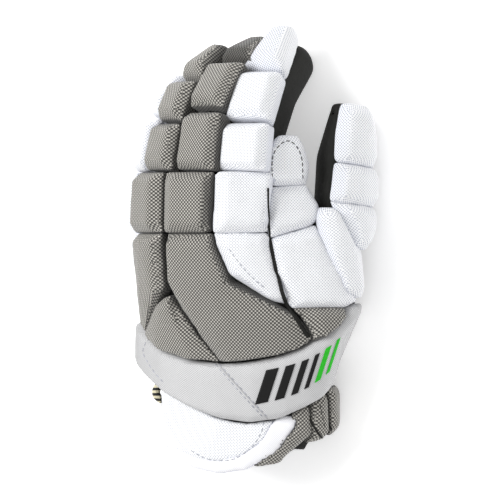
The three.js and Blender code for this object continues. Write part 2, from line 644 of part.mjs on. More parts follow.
// A pad: a patch of a surface, raised by its thickness, with rounded shoulders. place gives
// the point and the normal at a share s of its width and t of its length. reach moves its rim
// out, and grow swells all of it. cells is the number of faces across it and along it.
const PAD_RISE = [0.62, 1]; // share of the thickness at its rim and inside its shoulder
const PAD_ROOT = 3; // how deep a pad starts under its seat, before the seat is cut
function padSolid(place, { thickness, cells, reach = 0 }, grow = 0) {
  const width = place(0, 0.5).point.distanceTo(place(1, 0.5).point);
  const length = place(0.5, 0).point.distanceTo(place(0.5, 1).point);
  const [rows, columns] = cells;
  const stations = (size, count) => {
    const edge = Math.min(PAD_SHOULDER / size, WIDEST_SHOULDER);
    const list = [-(reach + grow) / size];
    for (let i = 1; i < count; i++) {
      list.push(count < 3 ? i / count : edge + ((1 - 2 * edge) * (i - 1)) / (count - 2));
    }
    return [...list, 1 + (reach + grow) / size];
  };
  const rise = (i, count) => (count < 3 ? 1 : PAD_RISE[Math.min(i, count - i, 1)]);
  const [across, along] = [stations(width, rows), stations(length, columns)];
  const index = (i, j) => i * (columns + 1) + j;
  const points = [];
  const faces = [];
  for (let i = 0; i <= rows; i++)
    for (let j = 0; j <= columns; j++) {
      const { point, normal } = place(across[i], along[j]);
      const crown = PAD_CROWN * (1 - (2 * across[i] - 1) ** 2) * (1 - (2 * along[j] - 1) ** 2);
      const height = Math.min(rise(i, rows), rise(j, columns)) + crown;
      points.push(point.addScaledVector(normal, (thickness + grow) * height));
    }
  for (let i = 0; i < rows; i++)
    for (let j = 0; j < columns; j++) {
      const [a, b, c, d] = [index(i, j), index(i + 1, j), index(i + 1, j + 1), index(i, j + 1)];
      faces.push([a, b, c], [a, c, d]);
    }
  // Under it lies a grid of the same cells, drawn in a little, which its sides go down to.
  const base = points.length;
  const sink = -PAD_ROOT - grow;
  const drawnIn = (share, size) => {
    const edge = (PAD_GAP / 2 - grow) / size;
    return THREE.MathUtils.clamp(share, edge, 1 - edge);
  };
  for (const s of across)
    for (const t of along) {
      const { point, normal } = place(drawnIn(s, width), drawnIn(t, length));
      points.push(point.addScaledVector(normal, sink));
    }
  for (const [a, b, c] of [...faces]) faces.push([base + a, base + c, base + b]);
  const rim = [];
  for (let i = 0; i < rows; i++) rim.push(index(i, 0));
  for (let j = 0; j < columns; j++) rim.push(index(rows, j));
  for (let i = rows; i > 0; i--) rim.push(index(i, columns));
  for (let j = columns; j > 0; j--) rim.push(index(0, j));
  rim.forEach((a, k) => {
    const b = rim[(k + 1) % rim.length];
    faces.push([a, base + a, base + b], [a, base + b, b]);
  });
  return manifoldOf(points, faces);
}

// Seats a pad on the shell, clear of the strap and of the pads that are there already.
const sewn = [];
function sewSolid(name, solid, color) {
  const clear = [shellGrown, strapGrown, ...sewn];
  addNode(name, clear.reduce((rest, other) => rest.subtract(other), solid), color);
}
function sewPad(name, place, color, form) {
  sewSolid(name, padSolid(place, form), color);
  sewn.push(padSolid(place, form, form.clear ?? SEAT_GAP));
}

// The surface of a loft between the two edges of a panel.
const LOFTS = { hand, thumb, web };
function panelPlace(loft, rows) {
  const step = 0.01;
  return (s, t) => {
    const row = sampleRows(rows, t);
    const turn = THREE.MathUtils.lerp(row.left, row.right, s);
    const at = THREE.MathUtils.lerp(row.leftAt, row.rightAt, s);
    const spot = (turned, moved) => sectionPoint(sectionAt(loft, at + moved), turn + turned);
    const acrossIt = spot(1, 0).sub(spot(-1, 0));
    const alongIt = spot(0, step).sub(spot(0, -step));
    return { point: spot(0, 0), normal: acrossIt.cross(alongIt).normalize() };
  };
}

const padColor = (finger) => (finger === "index" || finger === "little" ? "white" : "grey");

// Pads on the backs of the fingers, one for each straight part.
for (const finger of FINGERS) {
  const names = finger.pitch.length === 3 ? ["base", "mid", "tip"] : ["base", "tip"];
  fingerChain(finger).forEach((part, i) => {
    const isTip = i === names.length - 1;
    const width = PAD_WIDTH * finger.pad * (1 - PAD_NARROWING * i);
    const end = PAD_GAP / 2 / part.length;
    const place = (s, t) => {
      const share = THREE.MathUtils.lerp(end, 1 - end, t);
      const taper = isTip ? 1 - TIP_TAPER * Math.max(t, 0) ** 2 : 1;
      const x = (s - 0.5) * 2;
      const point = part.joint
        .clone()
        .addScaledVector(part.along, share * part.length)
        .addScaledVector(part.side, (x * taper * width) / 2)
        .addScaledVector(part.normal, -PAD_WRAP * x * x);
      const normal = part.normal.clone().addScaledVector(part.side, PAD_SPLAY * x).normalize();
      return { point, normal };
    };
    const form = { thickness: PAD_THICKNESS, cells: [3, 3] };
    sewPad(`${finger.name}_${names[i]}_pad`, place, padColor(finger.name), form);
  });
}

// Pads on the knuckles, and the panels on the back, the thumb and the web.
for (const { name, rows } of KNUCKLES) {
  const ends = rows.map((row) => {
    const at = THREE.MathUtils.lerp(KNUCKLES_FROM, KNUCKLES_TO, row.along);
    return { ...row, leftAt: at, rightAt: at };
  });
  const form = { thickness: PAD_THICKNESS, cells: [3, 3], reach: PANEL_REACH };
  sewPad(`${name}_knuckle_pad`, panelPlace(hand, ends), padColor(name), form);
}
for (const { name, on, color, rows } of PANELS) {
  const cells = rows.length > 4 ? [6, 6] : [4, 4];
  const form = { thickness: PANEL_THICKNESS, cells, reach: PANEL_REACH };
  sewPad(name, panelPlace(LOFTS[on], rows), color, form);
}

// A spot on the back of the hand shell, at a distance across it and along Y.
function backSpot(across, y) {
  const section = sectionAt(hand, (y - hand.start) / HAND_LENGTH);
  const share = THREE.MathUtils.clamp(across / section.half, -SPOT_LIMIT, SPOT_LIMIT);
  const turn = Math.sign(share) * THREE.MathUtils.radToDeg(Math.asin(Math.abs(share) ** (SQUARENESS / 2)));
  return { turn, at: (y - hand.start) / HAND_LENGTH };
}
function backPlace(outline) {
  const step = 0.5;
  return (s, t) => {
    const spot = (across, along) => {
      const [x, y] = outline(s, t);
      const { turn, at } = backSpot(x + across, y + along);
      return sectionPoint(sectionAt(hand, at), turn);
    };
    const normal = spot(step, 0).sub(spot(-step, 0)).cross(spot(0, step).sub(spot(0, -step)));
    return { point: spot(0, 0), normal: normal.normalize() };
  };
}
const flapMiddle = hand.start + FLAP.at * HAND_LENGTH;
const flapEdge = (angle, inset) => {
  const reach = (sampleRows(FLAP_ROWS, angle).reach * FLAP_WIDTH) / 2 - inset;
  const [x, y] = [reach * Math.cos(radians(angle)), reach * Math.sin(radians(angle))];
  return [FLAP.x * HAND_WIDTH + x, flapMiddle + y];
};
const flapBand = backPlace((s, t) => {
  const inset = BINDING_WIDTH * (1 - s) * THREE.MathUtils.lerp(FLAP.narrow, 1, t);
  return flapEdge(THREE.MathUtils.lerp(FLAP.bandFrom, FLAP.bandTo, t), inset);
});
// Where the flap's edge reaches a height, between its lowest point and one of its sides.
function edgeAt(y, side) {
  let [low, high] = [FLAP.lowest, side];
  for (let i = 0; i < EDGE_TRIES; i++) {
    const middle = (low + high) / 2;
    if (flapEdge(middle, PAD_GAP)[1] < y) low = middle;
    else high = middle;
  }
  return flapEdge(low, PAD_GAP)[0];
}
const flapPatch = backPlace((s, t) => {
  const lowest = flapEdge(FLAP.lowest, PAD_GAP)[1];
  const y = THREE.MathUtils.lerp(lowest + PAD_GAP, flapMiddle + FLAP_RISE, t);
  const widest = Math.min(y, flapMiddle);
  return [THREE.MathUtils.lerp(edgeAt(widest, 180), edgeAt(widest, 360), s), y];
});
const bandForm = { thickness: FLAP_THICKNESS, cells: [2, 8], clear: PAD_GAP / 2 };
sewPad("cuff_flap_binding", flapBand, "white", bandForm);
sewPad("cuff_flap", flapPatch, "white", { thickness: FLAP_THICKNESS, cells: [4, 6] });

// A loop of lace through the cuff, at the little finger's side.
const laceArc = new THREE.CatmullRomCurve3(
  LACE_ROWS.map(({ at, turn, lift }) => {
    const { point, normal } = panelPlace(hand, [
      { along: 0, left: turn, leftAt: at, right: turn + 1, rightAt: at },
      { along: 1, left: turn, leftAt: at + 0.01, right: turn + 1, rightAt: at + 0.01 },
    ])(0, 0);
    return point.addScaledVector(normal, lift * LACE_DIAMETER);
  }),
);
const laceSection = new THREE.Shape().absarc(0, 0, LACE_DIAMETER / 2, 0, 2 * Math.PI);
const laceWay = { extrudePath: laceArc, steps: LACE_STEPS, curveSegments: 4 };
const lace = new THREE.ExtrudeGeometry(laceSection, laceWay);
sewSolid("lace_loop", solidOf(lace), "lace");

for (const { name, color, rows } of CUFF_PANELS) {
  const cells = rows.length > 2 ? [4, 4] : [3, 3];
  sewPad(name, panelPlace(hand, rows), color, { thickness: FLAP_THICKNESS, cells });
}

// The origin is on the table, under the middle of the glove.
const bounds = new THREE.Box3().setFromObject(group, true);
group.position.set(-(bounds.min.x + bounds.max.x) / 2, -(bounds.min.y + bounds.max.y) / 2, -bounds.min.z);

export default group;
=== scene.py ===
import math

import bpy
from mathutils import Matrix, Vector
from mathutils.bvhtree import BVHTree


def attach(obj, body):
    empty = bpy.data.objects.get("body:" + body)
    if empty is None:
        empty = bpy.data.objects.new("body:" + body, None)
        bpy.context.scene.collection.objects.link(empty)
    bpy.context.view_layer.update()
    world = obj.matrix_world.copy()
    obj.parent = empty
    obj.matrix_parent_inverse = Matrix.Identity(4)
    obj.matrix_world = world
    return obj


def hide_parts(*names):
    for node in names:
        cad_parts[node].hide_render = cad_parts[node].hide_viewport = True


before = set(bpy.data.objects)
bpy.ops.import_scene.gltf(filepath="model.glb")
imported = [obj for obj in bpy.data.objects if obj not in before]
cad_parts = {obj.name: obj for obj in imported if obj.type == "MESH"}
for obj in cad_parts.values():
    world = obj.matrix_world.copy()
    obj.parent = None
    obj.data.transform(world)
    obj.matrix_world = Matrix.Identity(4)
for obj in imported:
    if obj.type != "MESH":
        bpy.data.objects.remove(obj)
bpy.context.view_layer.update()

# The camera looks down on the back of the glove, leaning to the thumb's side.
# A long lens keeps the view almost parallel, so a pixel of the picture is a line into the scene.
PICTURE = 500
TARGET = Vector((-0.00084, -0.00058, 0.03))
TILT = math.radians(30)
DISTANCE = 3.0
LENS = 341.0
SENSOR = 36.0
VIEW_BACK = Vector((math.sin(TILT), 0, math.cos(TILT)))
VIEW_RIGHT = Vector((math.cos(TILT), 0, -math.sin(TILT)))
VIEW_UP = Vector((0, 1, 0))
bpy.ops.object.select_all(action="DESELECT")
bpy.ops.object.camera_add(location=TARGET + DISTANCE * VIEW_BACK)
camera = bpy.context.object
camera.name = "camera"
camera.rotation_mode = "QUATERNION"
camera.rotation_quaternion = Matrix((VIEW_RIGHT, VIEW_UP, VIEW_BACK)).transposed().to_quaternion()
camera.data.lens = LENS
camera.data.sensor_width = SENSOR
camera.data.clip_start = 0.1
camera.data.clip_end = 20
bpy.context.scene.camera = camera


# The palm, the sides of the fingers and the sleeve of the thumb are one skin of split leather.
# It is cut in panels, sewn inside out and turned, so no seam stands proud of it.
LEATHER_NODES = [
    "palm_shell", "thumb_sleeve", "index_sleeve", "middle_sleeve", "ring_sleeve", "little_sleeve",
]
LEATHER_VOXEL = 0.0015
LEATHER_SMOOTHING = 24


def linear(code):
    """A colour for a shader from its sRGB hex value."""
    channels = [int(code[i : i + 2], 16) / 255 for i in (1, 3, 5)]
    return [c / 12.92 if c <= 0.04045 else ((c + 0.055) / 1.055) ** 2.4 for c in channels] + [1.0]


def new_material(name):
    material = bpy.data.materials.new(name)
    material.use_nodes = True
    material.node_tree.nodes.clear()
    return material


def add_node(material, kind, inputs=None, **settings):
    """Adds a shader node. Each input is a value or the socket that feeds it."""
    node = material.node_tree.nodes.new("ShaderNode" + kind)
    for name, value in settings.items():
        setattr(node, name, value)
    for key, value in (inputs or {}).items():
        if isinstance(value, bpy.types.NodeSocket):
            material.node_tree.links.new(value, node.inputs[key])
        else:
            node.inputs[key].default_value = value
    return node


def deselect():
    bpy.ops.object.select_all(action="DESELECT")


def take(piece):
    """Makes a piece the only selected and active one."""
    deselect()
    piece.select_set(True)
    bpy.context.view_layer.objects.active = piece


def cad_copy(name, nodes):
    """A new piece with the merged meshes of some CAD nodes."""
    deselect()
    copies = []
    for node in nodes:
        copy = bpy.data.objects.new(name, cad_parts[node].data.copy())
        bpy.context.scene.collection.objects.link(copy)
        copy.data.materials.clear()
        copy.select_set(True)
        copies.append(copy)
    piece = copies[0]
    bpy.context.view_layer.objects.active = piece
    if len(copies) > 1:
        bpy.ops.object.join()
    piece.name = piece.data.name = name
    bpy.ops.object.mode_set(mode="EDIT")
    bpy.ops.mesh.select_all(action="SELECT")
    bpy.ops.mesh.remove_doubles(threshold=1e-6)
    bpy.ops.object.mode_set(mode="OBJECT")
    return piece


def apply_modifier(piece, kind, **settings):
    take(piece)
    modifier = piece.modifiers.new(kind.lower(), kind)
    for name, value in settings.items():
        setattr(modifier, name, value)
    bpy.ops.object.modifier_apply(modifier=modifier.name)


def finish_piece(piece, material, nodes=()):
    piece.data.materials.clear()
    piece.data.materials.append(material)
    piece.data.shade_smooth()
    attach(piece, "root")
    if nodes:
        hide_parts(*nodes)


def leather_material():
    """Split leather, dyed black and buffed: matt, with a fine pebble and slightly greyer high spots."""
    GRAIN = 0.0011
    skin = new_material("split_leather")
    place = add_node(skin, "TexCoord").outputs["Object"]
    pebble = add_node(skin, "TexVoronoi", {"Vector": place, "Scale": 1 / GRAIN})
    dye = add_node(skin, "TexNoise", {"Vector": place, "Scale": 140.0, "Detail": 5.0, "Roughness": 0.65})
    scuff = add_node(skin, "TexNoise", {"Vector": place, "Scale": 1100.0, "Detail": 3.0})
    tone = add_node(
        skin,
        "Mix",
        {"Factor": dye.outputs["Fac"], "A": linear("#070707"), "B": linear("#1b1b19")},
        data_type="RGBA",
    )
    shade = add_node(
        skin,
        "Mix",
        {"Factor": scuff.outputs["Fac"], "A": tone.outputs["Result"], "B": linear("#22221f")},
        data_type="RGBA",
    )
    bump = add_node(
        skin, "Bump", {"Height": pebble.outputs["Distance"], "Strength": 0.35, "Distance": 0.0004}
    )
    rough = add_node(
        skin, "MapRange", {"Value": scuff.outputs["Fac"], "To Min": 0.55, "To Max": 0.85}
    )
    surface = add_node(
        skin,
        "BsdfPrincipled",
        {
            "Base Color": shade.outputs["Result"],
            "Roughness": rough.outputs["Result"],
            "Normal": bump.outputs["Normal"],
            "IOR": 1.45,
            "Specular IOR Level": 0.3,
        },
    )
    add_node(skin, "OutputMaterial", {"Surface": surface.outputs["BSDF"]})
    return skin


leather = leather_material()
leather_shell = cad_copy("leather_shell", LEATHER_NODES)
apply_modifier(leather_shell, "REMESH", mode="VOXEL", voxel_size=LEATHER_VOXEL)
apply_modifier(leather_shell, "SMOOTH", factor=0.5, iterations=LEATHER_SMOOTHING)
finish_piece(leather_shell, leather, LEATHER_NODES)


# The lining is a knitted sleeve round the wrist, turned over at its mouth, and goes on over the
# back of the hand, where the pads are sewn to it. It is dark, soft and a little fuzzy, with the
# ribs of its knit along the arm.
def liner_material():
    """Brushed polyester knit: matt, with ribs along the arm and a soft sheen."""
    RIB = 0.0022
    knit = new_material("brushed_knit")
    place = add_node(knit, "TexCoord").outputs["Object"]
    ribs = add_node(
        knit,
        "TexWave",
        {"Vector": place, "Scale": 1 / (RIB * 20 / math.pi * 2), "Distortion": 1.5, "Detail": 2.0},
        bands_direction="X",
    )
    fuzz = add_node(knit, "TexNoise", {"Vector": place, "Scale": 900.0, "Detail": 4.0})
    tone = add_node(
        knit,
        "Mix",
        {"Factor": fuzz.outputs["Fac"], "A": linear("#1b1b1a"), "B": linear("#3a3a37")},
        data_type="RGBA",
    )
    bump = add_node(knit, "Bump", {"Height": ribs.outputs["Fac"], "Strength": 0.5, "Distance": 0.0005})
    surface = add_node(
        knit,
        "BsdfPrincipled",
        {
            "Base Color": tone.outputs["Result"],
            "Roughness": 0.9,
            "Normal": bump.outputs["Normal"],
            "Sheen Weight": 0.3,
        },
    )
    add_node(knit, "OutputMaterial", {"Surface": surface.outputs["BSDF"]})
    return knit


LINER_VOXEL = 0.0015
LINER_SMOOTHING = 14
liner = liner_material()
for node in ("cuff_liner", "back_shell"):
    lining = cad_copy(node + "_knit", [node])
    apply_modifier(lining, "REMESH", mode="VOXEL", voxel_size=LINER_VOXEL)
    apply_modifier(lining, "SMOOTH", factor=0.5, iterations=LINER_SMOOTHING)
    finish_piece(lining, liner, [node])


# The pads are blocks of foam under a knitted mesh, sewn to the shell along their rims.
# The mesh is pulled tight over the foam, so its top is full and its sides drop into the seams.
PAD_VOXEL = 0.0014
PAD_SMOOTHING = 4
TIP_SMOOTHING = 22
KNUCKLE_FRONT_DRAW = 0.0023
KNUCKLE_BACK_DRAW = 0.0009
PAD_FILL = 0.0010
PAD_PRESSURE = 4.0
PAD_SWELL = 0.0009
SWELL_FRAMES = 20
SWELL_RISE = 1.6
GREY_PADS = [
    "middle_base_pad", "middle_mid_pad", "middle_tip_pad",
    "ring_base_pad", "ring_mid_pad", "ring_tip_pad",
    "middle_knuckle_pad", "ring_knuckle_pad",
    "main_back_pad", "wedge_back_pad", "ring_back_pad", "thumb_wrist_panel",
]
WHITE_PADS = [
    "index_base_pad", "index_mid_pad", "index_tip_pad",
    "little_base_pad", "little_tip_pad",
    "index_knuckle_pad", "little_knuckle_pad",
    "index_back_pad", "little_back_pad",
    "thumb_panel", "web_mid_pad", "web_top_pad",
    "thumb_base_pad", "thumb_mid_pad", "thumb_tip_pad", "thumb_strip_pad",
]
HAND_AXIS = Vector((-0.02, 0, 0.02))


def pad_frame(piece):
    """The outward, along and across directions of a pad, from the faces of its top."""
    middle = sum((v.co for v in piece.data.vertices), Vector()) / len(piece.data.vertices)
    away = middle - HAND_AXIS
    away.y = 0
    away.normalize()
    out = Vector()
    for face in piece.data.polygons:
        if face.normal.dot(away) > 0.5:
            out += face.normal * face.area
    out.normalize()
    along = (Vector((0, 1, 0)) - out * out.y).normalized()
    return out, along, along.cross(out)


def lay_weave(piece):
    """Lays the threads on a pad, in millimetres, straight over its top and down its sides."""
    out, along, across = pad_frame(piece)
    uv = piece.data.uv_layers.new(name="weave")
    # wall is how far each point turns away from the pad's top: 0 on the top and 1 on a side. The fabric
    # uses it for painted shade on the sides.
    wall = piece.data.attributes.new("wall", "FLOAT", "POINT")
    for vertex in piece.data.vertices:
        wall.data[vertex.index].value = 1 - max(0.0, vertex.normal.dot(out))
    for face in piece.data.polygons:
        parts = [abs(face.normal.dot(axis)) for axis in (out, along, across)]
        biggest = parts.index(max(parts))
        axes = [(across, along), (across, out), (out, along)][biggest]
        for loop in face.loop_indices:
            point = piece.data.vertices[piece.data.loops[loop].vertex_index].co * 1000
            uv.data[loop].uv = (point.dot(axes[0]), point.dot(axes[1]))


def swell(pieces, pressure, reach):
    """Blows the covers up a little with cloth simulation. No point moves further than reach,
    and a cover's foot, where it is sewn down, doesn't move."""
    rest = {}
    for piece in pieces:
        rest[piece.name] = [v.co.copy() for v in piece.data.vertices]
        cloth = piece.modifiers.new("cloth", "CLOTH")
        cloth.settings.quality = 4
        cloth.settings.mass = 0.3
        cloth.settings.use_pressure = True
        cloth.settings.uniform_pressure_force = pressure
        cloth.settings.effector_weights.gravity = 0
        cloth.collision_settings.use_collision = False
        cloth.point_cache.frame_start = 1
        cloth.point_cache.frame_end = SWELL_FRAMES
    for step in range(1, SWELL_FRAMES + 1):
        bpy.context.scene.frame_set(step)
    for piece in pieces:
        take(piece)
        bpy.ops.object.modifier_apply(modifier="cloth")
        out = pad_frame(piece)[0]
        heights = [p.dot(out) for p in rest[piece.name]]
        low, high = min(heights), max(heights)
        for vertex, start, height in zip(piece.data.vertices, rest[piece.name], heights):
            move = vertex.co - start
            if move.length > reach:
                move *= reach / move.length
            vertex.co = start + move * min(1.0, SWELL_RISE * (height - low) / (high - low))
    bpy.context.scene.frame_set(1)


def draw_out(piece, front, back):
    """Draws a knuckle's cover out into the seams at its finger end and its wrist end."""
    places = [vertex.co.y for vertex in piece.data.vertices]
    low, high = min(places), max(places)
    for vertex in piece.data.vertices:
        share = (vertex.co.y - low) / (high - low)
        vertex.co.y += share * front - (1 - share) * back


def make_pads(names, material, side_fill):
    """Covers for pads. side_fill is the share of the filling that pushes their sides out."""
    pads = []
    for name in names:
        pad = cad_copy(name + "_cover", [name])
        if name.endswith("_knuckle_pad"):
            draw_out(pad, KNUCKLE_FRONT_DRAW, KNUCKLE_BACK_DRAW)
        rounds = TIP_SMOOTHING if name.endswith("_tip_pad") else PAD_SMOOTHING
        apply_modifier(pad, "REMESH", mode="VOXEL", voxel_size=PAD_VOXEL)
        apply_modifier(pad, "SMOOTH", factor=0.5, iterations=rounds)
        out = pad_frame(pad)[0]
        filled = pad.vertex_groups.new(name="filled")
        for vertex in pad.data.vertices:
            facing = max(0.0, vertex.normal.dot(out))
            filled.add([vertex.index], side_fill + (1 - side_fill) * facing, "REPLACE")
        apply_modifier(pad, "DISPLACE", strength=PAD_FILL, mid_level=0.0, vertex_group="filled")
        pads.append(pad)
    swell(pads, PAD_PRESSURE, PAD_SWELL)
    for name, pad in zip(names, pads):
        apply_modifier(pad, "SUBSURF", levels=1, render_levels=1)
        lay_weave(pad)
        finish_piece(pad, material, [name])
    return dict(zip(names, pads))


def mesh_fabric(name, loops, threads, holes, sides, depth, pitch=1.9):
    """Knitted polyester mesh: rows of small holes, offset like bricks, between bright loops.
    pitch is one repeat in mm, with holes 0.7 of it apart. The real ones are some 1.5 mm apart,
    and those of the grey mesh are drawn a little coarser, 1.6 mm apart, so that they show."""
    fabric = new_material(name)
    place = add_node(fabric, "UVMap", uv_map="weave").outputs["UV"]
    lengths = add_node(fabric, "SeparateXYZ", {"Vector": place}).outputs
    turns = []
    for side in ("X", "Y"):
        angle = add_node(
            fabric, "Math", {0: lengths[side], 1: 2 * math.pi / pitch}, operation="MULTIPLY"
        )
        turns.append(add_node(fabric, "Math", {0: angle.outputs[0]}, operation="COSINE").outputs[0])
    knit = add_node(fabric, "Math", {0: turns[0], 1: turns[1]}, operation="MULTIPLY").outputs[0]
    wall = add_node(fabric, "Attribute", attribute_name="wall").outputs["Fac"]
    # Holes open wider where the cover turns away from its top. This is partly the mesh stretched over the
    # foam's edge and partly painted shade on the steep sides.
    stretch_and_shade_share = add_node(fabric, "MapRange", {"Value": wall, "To Min": 0.7, "To Max": 1.0})
    hole = add_node(
        fabric,
        "MapRange",
        {"Value": knit, "From Min": -0.05, "From Max": 0.5},
        interpolation_type="SMOOTHSTEP",
    )
    hole = add_node(
        fabric, "Math", {0: hole.outputs["Result"], 1: stretch_and_shade_share.outputs["Result"]}, operation="MULTIPLY"
    )
    loop = add_node(
        fabric,
        "MapRange",
        {"Value": knit, "From Min": -0.05, "From Max": -0.6},
        interpolation_type="SMOOTHSTEP",
    )
    spot = add_node(fabric, "TexCoord").outputs["Object"]
    soil = add_node(fabric, "TexNoise", {"Vector": spot, "Scale": 60.0, "Detail": 6.0, "Roughness": 0.7})
    thread = add_node(
        fabric,
        "Mix",
        {"Factor": loop.outputs["Result"], "A": linear(threads), "B": linear(loops)},
        data_type="RGBA",
    )
    pierced = add_node(
        fabric,
        "Mix",
        {"Factor": hole.outputs[0], "A": thread.outputs["Result"], "B": linear(holes)},
        data_type="RGBA",
    )
    dull = add_node(fabric, "MapRange", {"Value": soil.outputs["Fac"], "To Min": 0.9, "To Max": 1.06})
    tone = add_node(
        fabric,
        "Mix",
        {"Factor": 1.0, "A": pierced.outputs["Result"], "B": dull.outputs["Result"]},
        data_type="RGBA",
        blend_type="MULTIPLY",
    )
    # Painted shade: where a cover turns steeply away from its top, its colour is multiplied by the sides
    # colour, so its sides come out darker than its top.
    side_shade_mask = add_node(
        fabric,
        "MapRange",
        {"Value": wall, "From Min": 0.3, "From Max": 0.85},
        interpolation_type="SMOOTHSTEP",
    )
    tone = add_node(
        fabric,
        "Mix",
        {"Factor": side_shade_mask.outputs["Result"], "A": tone.outputs["Result"], "B": linear(sides)},
        data_type="RGBA",
        blend_type="MULTIPLY",
    )
    height = add_node(fabric, "Math", {0: hole.outputs[0], 1: -1.0}, operation="MULTIPLY")
    bump = add_node(fabric, "Bump", {"Height": height.outputs[0], "Strength": depth, "Distance": 0.0006})
    rough = add_node(fabric, "MapRange", {"Value": loop.outputs["Result"], "To Min": 0.85, "To Max": 0.6})
    surface = add_node(
        fabric,
        "BsdfPrincipled",
        {
            "Base Color": tone.outputs["Result"],
            "Roughness": rough.outputs["Result"],
            "Normal": bump.outputs["Normal"],
            "Sheen Weight": 0.25,
            "Sheen Roughness": 0.5,
        },
    )
    add_node(fabric, "OutputMaterial", {"Surface": surface.outputs["BSDF"]})
    return fabric


# For each fabric, sides is the painted shade colour that is multiplied on to the steep sides of its
# covers.
grey_mesh = mesh_fabric(
    "grey_knit_mesh", loops="#c6c3bb", threads="#716e69", holes="#0c0b0a", sides="#8a8987",
    depth=0.9, pitch=2.3,
)
white_mesh = mesh_fabric(
    "white_knit_mesh", loops="#ffffff", threads="#fafbfd", holes="#aeb2be", sides="#f4f5f9", depth=0.5
)
pads = make_pads(GREY_PADS, grey_mesh, side_fill=0.1)
pads.update(make_pads(WHITE_PADS, white_mesh, side_fill=0.6))


# The wrist strap is a band of foam under a smooth knit, drawn round the wrist and over the back.
# It is closed on the palm side with hook and loop tape, and a seam crosses it behind the fingers.
# Its sides colour is painted shade on the strap's steep edges.
strap_knit = mesh_fabric(
    "strap_knit", loops="#d6d6d6", threads="#cbcbcc", holes="#a0a0a2", sides="#e0e0e0",
    depth=0.2, pitch=1.4,
)
STRAP_VOXEL = 0.0015
STRAP_SMOOTHING = 5
BROAD_SMOOTHING = 60
RIM_FALL = 2.5
strap = cad_copy("strap_cover", ["wrist_strap"])
apply_modifier(strap, "REMESH", mode="VOXEL", voxel_size=STRAP_VOXEL)
apply_modifier(strap, "SMOOTH", factor=0.5, iterations=STRAP_SMOOTHING)
broad = strap.vertex_groups.new(name="broad_face")
for vertex in strap.data.vertices:
    broad.add([vertex.index], max(0.0, 1 - RIM_FALL * abs(vertex.normal.y)), "REPLACE")
apply_modifier(strap, "SMOOTH", factor=0.5, iterations=BROAD_SMOOTHING, vertex_group="broad_face")
apply_modifier(strap, "SUBSURF", levels=1, render_levels=1)
lay_weave(strap)
finish_piece(strap, strap_knit, ["wrist_strap"])


# Sewn lines: thread, piping and tape that hold the strap and the pads, laid on the finished covers.
# Each is a row of pixels of the picture, carried along the camera's line on to the cloth.
FOCAL = LENS / SENSOR * PICTURE
STITCH_STEPS = 4
STITCH_PERIOD = 6


def surface_of(pieces):
    trees = []
    for piece in pieces:
        corners = [vertex.co.copy() for vertex in piece.data.vertices]
        faces = [tuple(face.vertices) for face in piece.data.polygons]
        trees.append(BVHTree.FromPolygons(corners, faces))
    return trees


def picture_spot(trees, x, y):
    """The nearest point of a surface that a pixel of the picture shows, and its normal."""
    line = VIEW_RIGHT * (x - PICTURE / 2) + VIEW_UP * (PICTURE / 2 - y) - VIEW_BACK * FOCAL
    hits = [tree.ray_cast(camera.location, line.normalized()) for tree in trees]
    hits = [hit for hit in hits if hit[0] is not None]
    if not hits:
        return None
    point, normal = min(hits, key=lambda hit: hit[3])[:2]
    return point, normal


def trace(trees, pixels):
    """Spots about 0.6 mm apart under a smooth line through pixels of the picture."""
    knots = [Vector(pixel) for pixel in pixels]
    knots = [2 * knots[0] - knots[1], *knots, 2 * knots[-1] - knots[-2]]
    spots = []
    for a, b, c, d in zip(knots, knots[1:], knots[2:], knots[3:]):
        steps = max(2, round((c - b).length))
        for i in range(steps):
            t = i / steps
            pixel = b + (c - a) * t / 2 + (2 * a - 5 * b + 4 * c - d) * t**2 / 2
            pixel += (3 * b - a - 3 * c + d) * t**3 / 2
            spot = picture_spot(trees, *pixel)
            if spot:
                spots.append(spot)
    for _ in range(3):
        for i in range(1, len(spots) - 1):
            point = (spots[i - 1][0] + 2 * spots[i][0] + spots[i + 1][0]) / 4
            spots[i] = (point, spots[i][1])
    return spots


def lifted(spots, lift):
    return [point + normal * lift for point, normal in spots]


def stitches(spots, sink=0.0004):
    """Cuts a traced line into stitches, each with its two ends drawn into the cloth."""
    runs = []
    for start in range(0, len(spots) - STITCH_STEPS, STITCH_PERIOD):
        stitch = spots[start : start + STITCH_STEPS + 1]
        if (stitch[0][0] - stitch[-1][0]).length < 0.006:
            run = lifted(stitch, 0.0001)
            run[0] -= stitch[0][1] * sink
            run[-1] -= stitch[-1][1] * sink
            runs.append(run)
    return runs


def sewn_line(name, runs, radius, material):
    """Thread or piping along runs of points, as round tubes with closed ends."""
    curve = bpy.data.curves.new(name, "CURVE")
    curve.dimensions = "3D"
    curve.bevel_depth = radius
    curve.bevel_resolution = 1
    curve.use_fill_caps = True
    for run in runs:
        spline = curve.splines.new("POLY")
        spline.points.add(len(run) - 1)
        for knot, point in zip(spline.points, run):
            knot.co = (*point, 1)
    piece = bpy.data.objects.new(name, curve)
    bpy.context.scene.collection.objects.link(piece)
    take(piece)
    bpy.ops.object.convert(target="MESH")
    finish_piece(piece, material)
    return piece


def thread_material(name, pale, groove_shade):
    """Bonded polyester thread: twisted, slightly glossy, with painted shade in the grooves between its
    strands.
    """
    TWIST = 0.0009
    thread = new_material(name)
    place = add_node(thread, "TexCoord").outputs["Object"]
    strands = add_node(
        thread,
        "TexWave",
        {"Vector": place, "Scale": 0.31 / TWIST, "Distortion": 1.0},
        bands_direction="DIAGONAL",
    )
    # Painted shade: the thread is mixed towards a darker colour in the grooves between its strands.
    tone = add_node(
        thread,
        "Mix",
        {"Factor": strands.outputs["Fac"], "A": linear(groove_shade), "B": linear(pale)},
        data_type="RGBA",
    )
    bump = add_node(
        thread, "Bump", {"Height": strands.outputs["Fac"], "Strength": 0.4, "Distance": 0.0002}
    )
    surface = add_node(
        thread,
        "BsdfPrincipled",
        {"Base Color": tone.outputs["Result"], "Roughness": 0.55, "Normal": bump.outputs["Normal"]},
    )
    add_node(thread, "OutputMaterial", {"Surface": surface.outputs["BSDF"]})
    return thread


